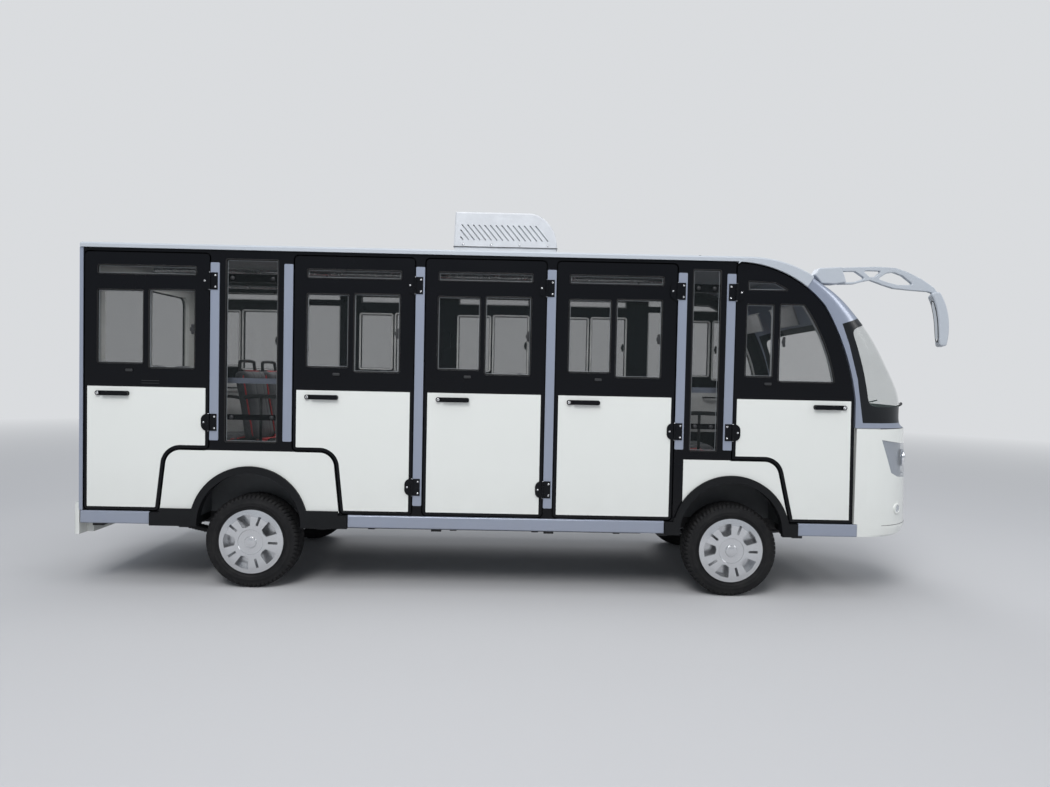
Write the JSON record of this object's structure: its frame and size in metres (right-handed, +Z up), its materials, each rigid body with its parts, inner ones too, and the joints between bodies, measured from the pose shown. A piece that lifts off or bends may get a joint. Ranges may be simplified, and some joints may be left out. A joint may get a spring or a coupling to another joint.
{
  "type": "enclosed electric sightseeing shuttle",
  "caption": "Enclosed electric sightseeing shuttle with hinged side doors, sliding panes, roof air unit and long mirror arms.",
  "frame": {"origin": "centre of the whole outline in plan, mirrors and bumper included, on the ground under the tyres", "axes": "+X forward, +Y to the vehicle's left, +Z up"},
  "size_m": [5.241, 1.558, 2.355],
  "materials": {
    "black_frame": "satin",
    "white_skin": "gloss",
    "tinted_glass": "gloss",
    "silver_trim": "satin",
    "roof_white": "gloss",
    "unit_white": "gloss",
    "chassis_black": "matt",
    "arch_black": "matt",
    "floor_grey": "matt",
    "tyre": "matt",
    "wheel_silver": "satin",
    "axle_steel": "matt",
    "seat_leather": "satin",
    "dash_pale": "matt",
    "wheel_black": "matt",
    "lamp_clear": "gloss",
    "battery_case": "matt"
  },
  "bodies": {
    "body": {"chassis_frame": "chassis_black", "floor_deck": "floor_grey", "side_frames": "black_frame", "silver_cladding": "silver_trim", "roof_shell": "roof_white", "roof_air_unit": "unit_white", "fender_panels": "white_skin", "wheel_arch_flares": "arch_black", "fixed_glass": "tinted_glass", "front_mask": "white_skin", "windshield_surround": "silver_trim", "lamps": "lamp_clear", "rear_wall": "white_skin", "mirror_arms": "roof_white", "seats": "seat_leather", "dashboard": "dash_pale", "battery_pack": "battery_case", "rear_axle": "axle_steel", "front_axle": "axle_steel"},
    "door_r1": {"door_r1_frame": "black_frame", "door_r1_skin": "white_skin", "door_r1_glass": "tinted_glass"},
    "door_r2": {"door_r2_frame": "black_frame", "door_r2_skin": "white_skin", "door_r2_glass": "tinted_glass"},
    "door_r3": {"door_r3_frame": "black_frame", "door_r3_skin": "white_skin", "door_r3_glass": "tinted_glass"},
    "door_r4": {"door_r4_frame": "black_frame", "door_r4_skin": "white_skin", "door_r4_glass": "tinted_glass"},
    "door_r5": {"door_r5_frame": "black_frame", "door_r5_skin": "white_skin", "door_r5_glass": "tinted_glass"},
    "door_l1": {"door_l1_frame": "black_frame", "door_l1_skin": "white_skin", "door_l1_glass": "tinted_glass"},
    "door_l2": {"door_l2_frame": "black_frame", "door_l2_skin": "white_skin", "door_l2_glass": "tinted_glass"},
    "door_l3": {"door_l3_frame": "black_frame", "door_l3_skin": "white_skin", "door_l3_glass": "tinted_glass"},
    "door_l4": {"door_l4_frame": "black_frame", "door_l4_skin": "white_skin", "door_l4_glass": "tinted_glass"},
    "door_l5": {"door_l5_frame": "black_frame", "door_l5_skin": "white_skin", "door_l5_glass": "tinted_glass"},
    "knuckle_right": {"knuckle_right": "axle_steel"},
    "wheel_front_right": {"tyre_front_right": "tyre", "wheel_front_right": "wheel_silver"},
    "wheel_rear_right": {"tyre_rear_right": "tyre", "wheel_rear_right": "wheel_silver"},
    "knuckle_left": {"knuckle_left": "axle_steel"},
    "wheel_front_left": {"tyre_front_left": "tyre", "wheel_front_left": "wheel_silver"},
    "wheel_rear_left": {"tyre_rear_left": "tyre", "wheel_rear_left": "wheel_silver"},
    "steering_wheel": {"steering_wheel": "wheel_black"}
  },
  "joints": [
    {"name": "door_r1_hinge", "type": "hinge", "parent": "body", "child": "door_r1", "pos_m": [-1.8175, -0.763, 1], "axis": [0, 0, 1], "range_deg": [0, 85]},
    {"name": "door_r2_hinge", "type": "hinge", "parent": "body", "child": "door_r2", "pos_m": [-0.6135, -0.763, 1], "axis": [0, 0, 1], "range_deg": [0, 85]},
    {"name": "door_r3_hinge", "type": "hinge", "parent": "body", "child": "door_r3", "pos_m": [0.1615, -0.763, 1], "axis": [0, 0, 1], "range_deg": [0, 85]},
    {"name": "door_r4_hinge", "type": "hinge", "parent": "body", "child": "door_r4", "pos_m": [0.9365, -0.763, 1], "axis": [0, 0, 1], "range_deg": [0, 85]},
    {"name": "door_r5_hinge", "type": "hinge", "parent": "body", "child": "door_r5", "pos_m": [1.2845, -0.763, 1], "axis": [0, 0, -1], "range_deg": [0, 85]},
    {"name": "door_l1_hinge", "type": "hinge", "parent": "body", "child": "door_l1", "pos_m": [-1.8175, 0.763, 1], "axis": [0, 0, -1], "range_deg": [0, 85]},
    {"name": "door_l2_hinge", "type": "hinge", "parent": "body", "child": "door_l2", "pos_m": [-0.6135, 0.763, 1], "axis": [0, 0, -1], "range_deg": [0, 85]},
    {"name": "door_l3_hinge", "type": "hinge", "parent": "body", "child": "door_l3", "pos_m": [0.1615, 0.763, 1], "axis": [0, 0, -1], "range_deg": [0, 85]},
    {"name": "door_l4_hinge", "type": "hinge", "parent": "body", "child": "door_l4", "pos_m": [0.9365, 0.763, 1], "axis": [0, 0, -1], "range_deg": [0, 85]},
    {"name": "door_l5_hinge", "type": "hinge", "parent": "body", "child": "door_l5", "pos_m": [1.2845, 0.763, 1], "axis": [0, 0, 1], "range_deg": [0, 85]},
    {"name": "knuckle_right_steer", "type": "hinge", "parent": "body", "child": "knuckle_right", "pos_m": [1.3055, -0.575, 0.28], "axis": [0, 0, 1], "range_deg": [-30, 30]},
    {"name": "knuckle_left_steer", "type": "hinge", "parent": "body", "child": "knuckle_left", "pos_m": [1.3055, 0.575, 0.28], "axis": [0, 0, 1], "range_deg": [-30, 30]},
    {"name": "wheel_front_right_spin", "type": "hinge", "parent": "knuckle_right", "child": "wheel_front_right", "pos_m": [1.3055, -0.642, 0.28], "axis": [0, 1, 0], "continuous": true},
    {"name": "wheel_rear_right_spin", "type": "hinge", "parent": "body", "child": "wheel_rear_right", "pos_m": [-1.5745, -0.642, 0.28], "axis": [0, 1, 0], "continuous": true},
    {"name": "wheel_front_left_spin", "type": "hinge", "parent": "knuckle_left", "child": "wheel_front_left", "pos_m": [1.3055, 0.642, 0.28], "axis": [0, 1, 0], "continuous": true},
    {"name": "wheel_rear_left_spin", "type": "hinge", "parent": "body", "child": "wheel_rear_left", "pos_m": [-1.5745, 0.642, 0.28], "axis": [0, 1, 0], "continuous": true},
    {"name": "steering_wheel_turn", "type": "hinge", "parent": "body", "child": "steering_wheel", "pos_m": [1.6655, 0.33, 1.085], "axis": [-0.7771, 0, 0.6293], "range_deg": [-360, 360]}
  ],
  "couplings": [
    {"joint": "knuckle_left_steer", "follows": "knuckle_right_steer", "ratio": 1},
    {"joint": "steering_wheel_turn", "follows": "knuckle_right_steer", "ratio": 12}
  ]
}
